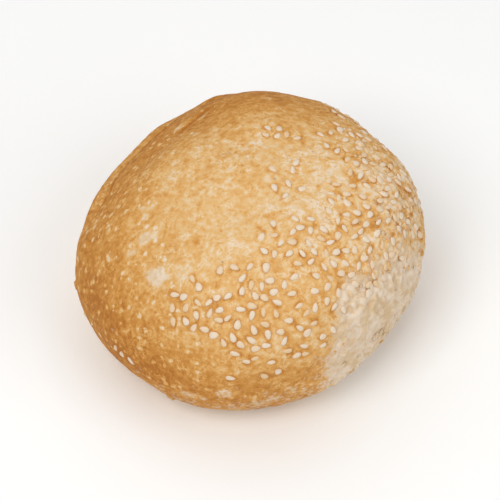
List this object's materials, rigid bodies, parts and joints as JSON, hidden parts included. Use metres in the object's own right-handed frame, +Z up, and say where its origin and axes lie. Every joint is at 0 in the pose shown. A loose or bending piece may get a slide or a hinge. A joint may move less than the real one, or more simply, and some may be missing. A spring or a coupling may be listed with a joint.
{
  "type": "bread roll",
  "caption": "Soft round bread roll with a golden crust, sesame seeds fused over its crown and one flank, a pale rough side where it browned least, and a flat base.",
  "frame": {"origin": "on the flat base, at floor level, under the middle of the roll", "axes": "+Z up through the crown; the front of the roll, with the belt of seeds, faces -Y, and the pale side faces +X and -Y"},
  "size_m": [0.1048, 0.1104, 0.0594],
  "materials": {
    "crust": "matt baked crust",
    "sesame": "satin hulled seed"
  },
  "bodies": {
    "root": {"sesame_roll": "crust"}
  },
  "joints": []
}
